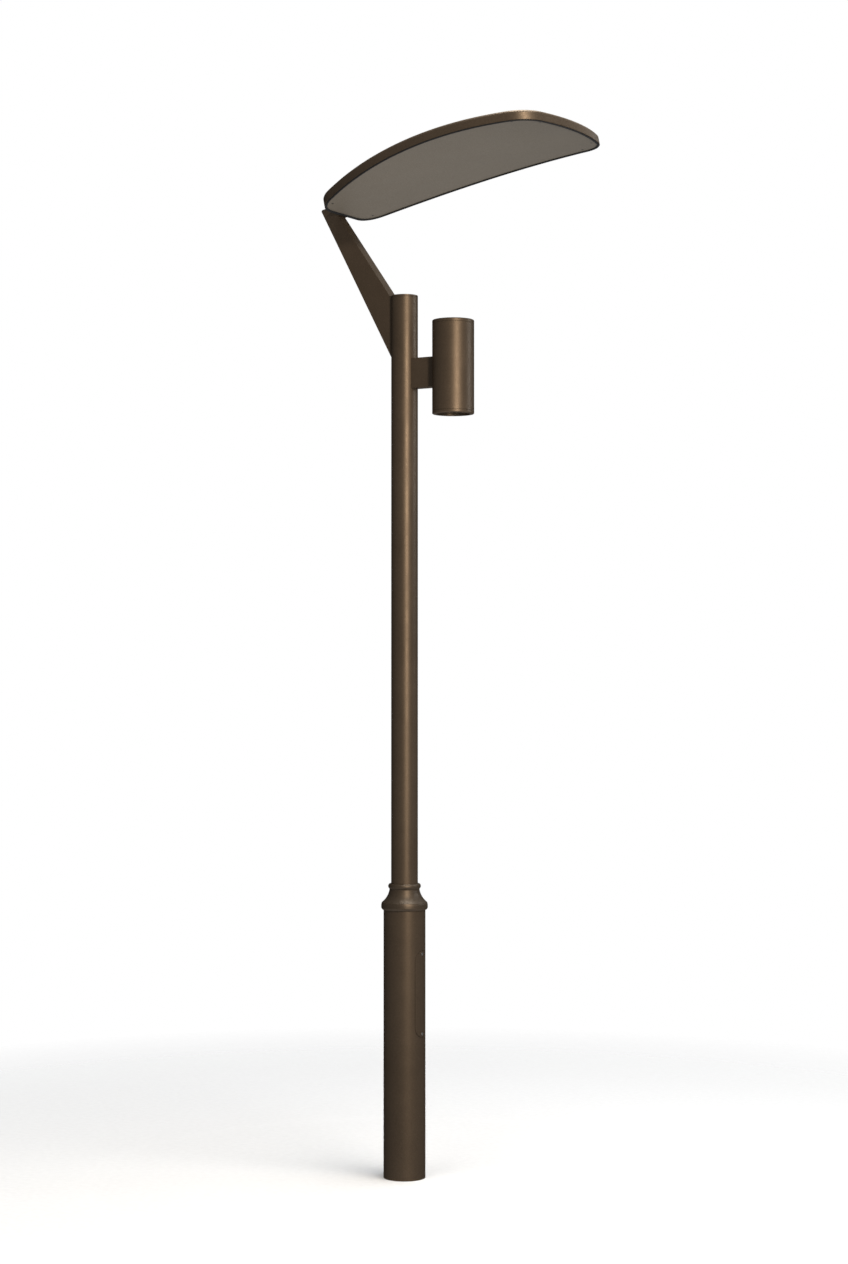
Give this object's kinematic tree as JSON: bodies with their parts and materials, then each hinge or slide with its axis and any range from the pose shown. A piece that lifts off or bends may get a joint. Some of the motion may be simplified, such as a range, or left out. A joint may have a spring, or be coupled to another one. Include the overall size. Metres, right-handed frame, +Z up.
{
  "type": "street lamp post",
  "caption": "Bolted-down street lamp post: bronze pole with service door, arched reflector head on a leaning arm, and an upright spotlight on a short bracket.",
  "frame": {"origin": "centre of the pole foot at ground level", "axes": "+Z up along the pole; +X from the pole towards the spotlight, the service door and the free end of the reflector head; +Y completes a right-handed frame, across the head"},
  "size_m": [1.1132, 0.6488, 3.9222],
  "materials": {
    "bronze_paint": "satin bronze powder coat",
    "panel_paint": "smooth satin taupe powder coat",
    "bare_steel": "satin",
    "black_steel": "satin black coating",
    "galvanised": "dull galvanised",
    "cast_collar": "satin bronze powder coat on a casting",
    "aluminium": "satin",
    "reflector_metal": "polished",
    "rubber": "matte black",
    "black_plastic": "matte black",
    "grey_plastic": "matte grey",
    "board": "matte",
    "glass": "clear toughened glass",
    "ceramic": "matte white",
    "brass": "satin",
    "cable_sheath": "matte black sheath",
    "led_board": "white board with a yellow emitter"
  },
  "bodies": {
    "post": {"base_plate": "galvanised", "cable_grommet": "rubber", "lower_pole": "bronze_paint", "door_frame": "bronze_paint", "door_gasket": "rubber", "lock_tabs": "galvanised", "board_mounts": "galvanised", "equipment_board": "board", "board_screws": "bare_steel", "fuse_box": "grey_plastic", "fuse_box_lid": "grey_plastic", "fuse_holder": "black_plastic", "cable_glands": "black_plastic", "earth_stud": "brass", "earth_nuts": "brass", "centring_rings": "galvanised", "collar": "cast_collar", "collar_set_screws": "bare_steel", "upper_pole": "bronze_paint", "cap_gasket": "rubber", "pole_top_cap": "bronze_paint", "arm_near_plate": "bronze_paint", "arm_far_plate": "bronze_paint", "arm_outer_strip": "bronze_paint", "arm_inner_strip": "bronze_paint", "arm_head_flange": "bronze_paint", "reflector_cover": "bronze_paint", "rim_frame": "aluminium", "panel_gasket": "rubber", "head_spine": "aluminium", "cross_ribs": "aluminium", "reflector_panel": "panel_paint", "panel_standoffs": "aluminium", "panel_screws": "black_steel", "spot_housing": "bronze_paint", "led_driver": "grey_plastic", "driver_terminals": "grey_plastic", "spot_bracket": "bronze_paint", "bracket_lid": "bronze_paint", "bracket_lid_screws": "bare_steel", "bracket_bolts": "bare_steel", "bracket_nuts": "bare_steel", "lamp_cable": "cable_sheath", "upper_glass": "glass", "upper_glass_gasket": "rubber", "upper_optic": "reflector_metal", "upper_led_module": "led_board", "upper_heat_sink": "aluminium", "lower_glass": "glass", "lower_glass_gasket": "rubber", "lower_optic": "reflector_metal", "lower_led_module": "led_board", "lower_heat_sink": "aluminium"},
    "door": {"door_cover": "bronze_paint"},
    "upper_lock": {"upper_door_lock": "bare_steel"},
    "lower_lock": {"lower_door_lock": "bare_steel"},
    "carrier": {"fuse_carrier": "black_plastic", "fuse_link": "ceramic"},
    "upper_ring": {"upper_bezel": "bronze_paint"},
    "lower_ring": {"lower_bezel": "bronze_paint"}
  },
  "joints": [
    {"name": "door_lift_off", "type": "slide", "parent": "post", "child": "door", "axis": [1, 0, 0], "range_m": [0, 0.12]},
    {"name": "upper_lock_turn", "type": "hinge", "parent": "door", "child": "upper_lock", "pos_m": [0.0795, 0, 0.848], "axis": [1, 0, 0], "continuous": true},
    {"name": "lower_lock_turn", "type": "hinge", "parent": "door", "child": "lower_lock", "pos_m": [0.0795, 0, 0.547], "axis": [1, 0, 0], "continuous": true},
    {"name": "fuse_carrier_pull", "type": "slide", "parent": "post", "child": "carrier", "axis": [1, 0, 0], "range_m": [0, 0.034]},
    {"name": "upper_bezel_unscrew", "type": "hinge", "parent": "post", "child": "upper_ring", "pos_m": [0.2155, 0, 3.23], "axis": [0, 0, 1], "continuous": true},
    {"name": "lower_bezel_unscrew", "type": "hinge", "parent": "post", "child": "lower_ring", "pos_m": [0.2155, 0, 2.888], "axis": [0, 0, 1], "continuous": true}
  ]
}
